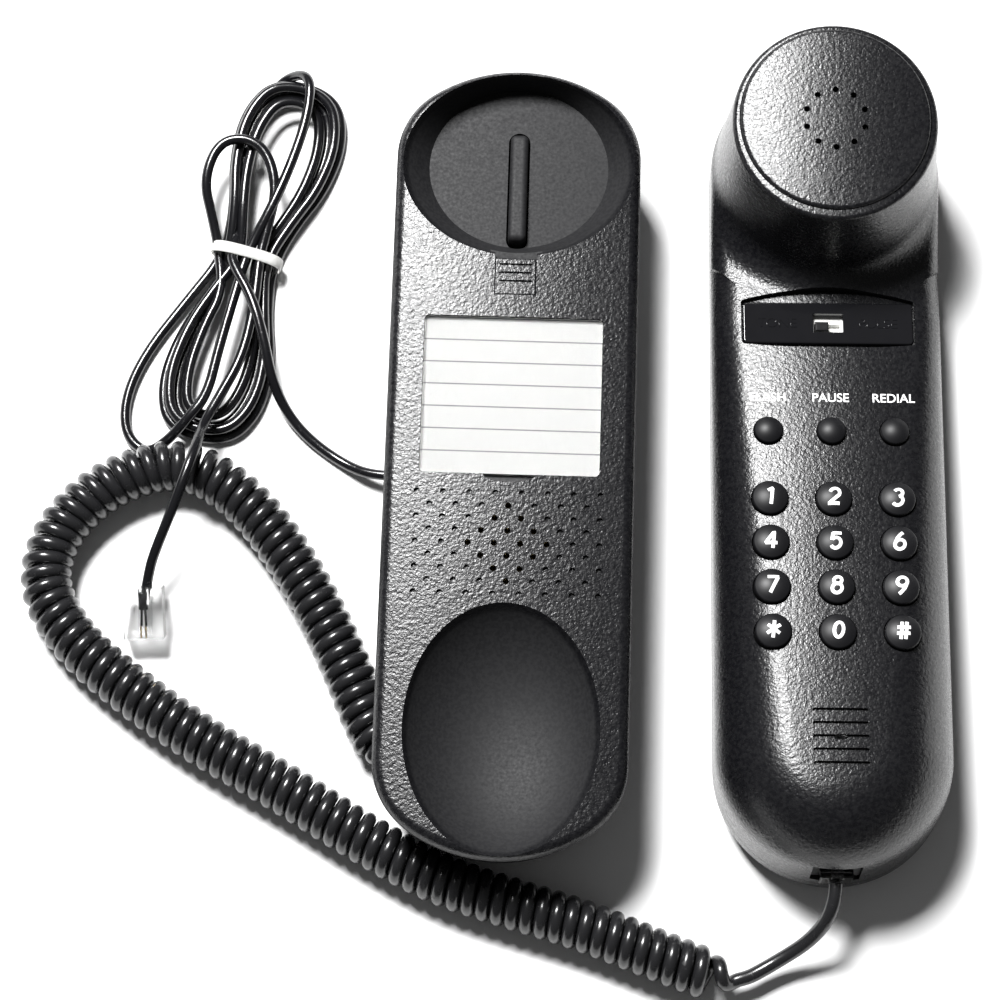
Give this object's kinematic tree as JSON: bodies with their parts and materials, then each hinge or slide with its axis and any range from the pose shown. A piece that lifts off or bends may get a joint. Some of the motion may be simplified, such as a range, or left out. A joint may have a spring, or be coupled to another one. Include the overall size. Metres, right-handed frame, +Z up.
{
  "type": "corded landline phone",
  "caption": "Slim corded telephone: cradle base with an ear well, a mouth dish and a card window, and a keypad handset on a curly cord, with a tied line cord and modular plug.",
  "frame": {"origin": "centre of the base's underside, on the table", "axes": "+Y along the base to its ear end, +X to the handset lying beside it, +Z up out of the cradle"},
  "size_m": [0.2241, 0.2293, 0.045],
  "materials": {
    "black_abs": "black ABS with a fine leather grain, semi-gloss",
    "key_abs": "smooth satin black",
    "gloss_black": "polished black",
    "white_plastic": "plain white",
    "clear_plastic": "clear polycarbonate, polished",
    "card": "white card with grey ruled lines",
    "circuit_board": "green laminate",
    "steel": "plated steel",
    "brass": "plain",
    "receiver_plastic": "dark moulded plastic",
    "foam": "open-cell foam",
    "grey_rubber": "silicone rubber",
    "cord_pvc": "glossy soft PVC"
  },
  "bodies": {
    "base": {"base_shell": "black_abs", "base_cover": "black_abs", "base_screws": "steel", "index_card": "card", "hook_pin": "steel", "hook_spring": "steel", "base_circuit_board": "circuit_board", "board_screws": "steel", "hook_switch": "black_abs", "ringer_case": "black_abs", "ringer_disc": "brass", "line_cord_relief": "cord_pvc", "coil_cord_relief": "cord_pvc", "coil_cord": "cord_pvc", "coil_cord_tail": "cord_pvc", "line_cord": "cord_pvc", "line_cord_hank": "cord_pvc", "line_cord_tail": "cord_pvc", "twist_tie": "white_plastic", "line_plug": "clear_plastic", "line_plug_contacts": "brass"},
    "handset": {"handset_front_shell": "black_abs", "handset_back_shell": "black_abs", "ear_cap": "black_abs", "receiver": "receiver_plastic", "receiver_foam_ring": "foam", "key_mat": "grey_rubber", "handset_circuit_board": "circuit_board", "switch_plate": "gloss_black", "dial_switch_body": "white_plastic", "microphone_boot": "grey_rubber", "microphone": "steel", "handset_screws": "steel", "handset_socket": "black_abs", "handset_plug": "clear_plastic"},
    "hanger_tab": {"hanger_tab": "black_abs"},
    "card_window": {"card_window": "clear_plastic"},
    "hook_lever": {"hook_lever": "black_abs"},
    "hook_switch_plunger": {"hook_switch_plunger": "white_plastic"},
    "dial_switch_slider": {"dial_switch_slider": "black_abs"},
    "key_1": {"key_1": "key_abs"},
    "key_2": {"key_2": "key_abs"},
    "key_3": {"key_3": "key_abs"},
    "key_4": {"key_4": "key_abs"},
    "key_5": {"key_5": "key_abs"},
    "key_6": {"key_6": "key_abs"},
    "key_7": {"key_7": "key_abs"},
    "key_8": {"key_8": "key_abs"},
    "key_9": {"key_9": "key_abs"},
    "key_star": {"key_star": "key_abs"},
    "key_0": {"key_0": "key_abs"},
    "key_hash": {"key_hash": "key_abs"},
    "key_flash": {"key_flash": "key_abs"},
    "key_pause": {"key_pause": "key_abs"},
    "key_redial": {"key_redial": "key_abs"}
  },
  "joints": [
    {"name": "handset_lift", "type": "slide", "parent": "base", "child": "handset", "axis": [0, 0, 1], "range_m": [0, 0.1]},
    {"name": "hook", "type": "hinge", "parent": "base", "child": "hook_lever", "pos_m": [0, 0.088, 0.0129], "axis": [1, 0, 0], "range_deg": [0, 5], "stiffness_Nm_per_rad": 0.02, "springref_deg": -28.65, "deforming": ["hook_spring"]},
    {"name": "hook_switch_press", "type": "slide", "parent": "base", "child": "hook_switch_plunger", "axis": [0, 0, -1], "range_m": [0, 0.00275]},
    {"name": "hanger_tab_slide", "type": "slide", "parent": "base", "child": "hanger_tab", "axis": [0, 1, 0], "range_m": [0, 0.0045]},
    {"name": "card_window_lift", "type": "slide", "parent": "base", "child": "card_window", "axis": [0, 0, 1], "range_m": [0, 0.02]},
    {"name": "dial_switch_slide", "type": "slide", "parent": "handset", "child": "dial_switch_slider", "axis": [0.9999, 0.014, 0], "range_m": [0, 0.0028]},
    {"name": "press_1", "type": "slide", "parent": "handset", "child": "key_1", "axis": [0.0018, -0.1262, -0.992], "range_m": [0, 0.0012], "stiffness_N_per_m": 400, "springref_m": -0.001},
    {"name": "press_2", "type": "slide", "parent": "handset", "child": "key_2", "axis": [0.0018, -0.1262, -0.992], "range_m": [0, 0.0012], "stiffness_N_per_m": 400, "springref_m": -0.001},
    {"name": "press_3", "type": "slide", "parent": "handset", "child": "key_3", "axis": [0.0018, -0.1262, -0.992], "range_m": [0, 0.0012], "stiffness_N_per_m": 400, "springref_m": -0.001},
    {"name": "press_4", "type": "slide", "parent": "handset", "child": "key_4", "axis": [0.0018, -0.1262, -0.992], "range_m": [0, 0.0012], "stiffness_N_per_m": 400, "springref_m": -0.001},
    {"name": "press_5", "type": "slide", "parent": "handset", "child": "key_5", "axis": [0.0018, -0.1262, -0.992], "range_m": [0, 0.0012], "stiffness_N_per_m": 400, "springref_m": -0.001},
    {"name": "press_6", "type": "slide", "parent": "handset", "child": "key_6", "axis": [0.0018, -0.1262, -0.992], "range_m": [0, 0.0012], "stiffness_N_per_m": 400, "springref_m": -0.001},
    {"name": "press_7", "type": "slide", "parent": "handset", "child": "key_7", "axis": [0.0018, -0.1262, -0.992], "range_m": [0, 0.0012], "stiffness_N_per_m": 400, "springref_m": -0.001},
    {"name": "press_8", "type": "slide", "parent": "handset", "child": "key_8", "axis": [0.0018, -0.1262, -0.992], "range_m": [0, 0.0012], "stiffness_N_per_m": 400, "springref_m": -0.001},
    {"name": "press_9", "type": "slide", "parent": "handset", "child": "key_9", "axis": [0.0018, -0.1262, -0.992], "range_m": [0, 0.0012], "stiffness_N_per_m": 400, "springref_m": -0.001},
    {"name": "press_star", "type": "slide", "parent": "handset", "child": "key_star", "axis": [0.0018, -0.1262, -0.992], "range_m": [0, 0.0012], "stiffness_N_per_m": 400, "springref_m": -0.001},
    {"name": "press_0", "type": "slide", "parent": "handset", "child": "key_0", "axis": [0.0018, -0.1262, -0.992], "range_m": [0, 0.0012], "stiffness_N_per_m": 400, "springref_m": -0.001},
    {"name": "press_hash", "type": "slide", "parent": "handset", "child": "key_hash", "axis": [0.0018, -0.1262, -0.992], "range_m": [0, 0.0012], "stiffness_N_per_m": 400, "springref_m": -0.001},
    {"name": "press_flash", "type": "slide", "parent": "handset", "child": "key_flash", "axis": [0.0018, -0.1262, -0.992], "range_m": [0, 0.0012], "stiffness_N_per_m": 400, "springref_m": -0.001},
    {"name": "press_pause", "type": "slide", "parent": "handset", "child": "key_pause", "axis": [0.0018, -0.1262, -0.992], "range_m": [0, 0.0012], "stiffness_N_per_m": 400, "springref_m": -0.001},
    {"name": "press_redial", "type": "slide", "parent": "handset", "child": "key_redial", "axis": [0.0018, -0.1262, -0.992], "range_m": [0, 0.0012], "stiffness_N_per_m": 400, "springref_m": -0.001}
  ],
  "couplings": [
    {"joint": "hook_switch_press", "follows": "hook", "m_per_rad": 0.031}
  ]
}
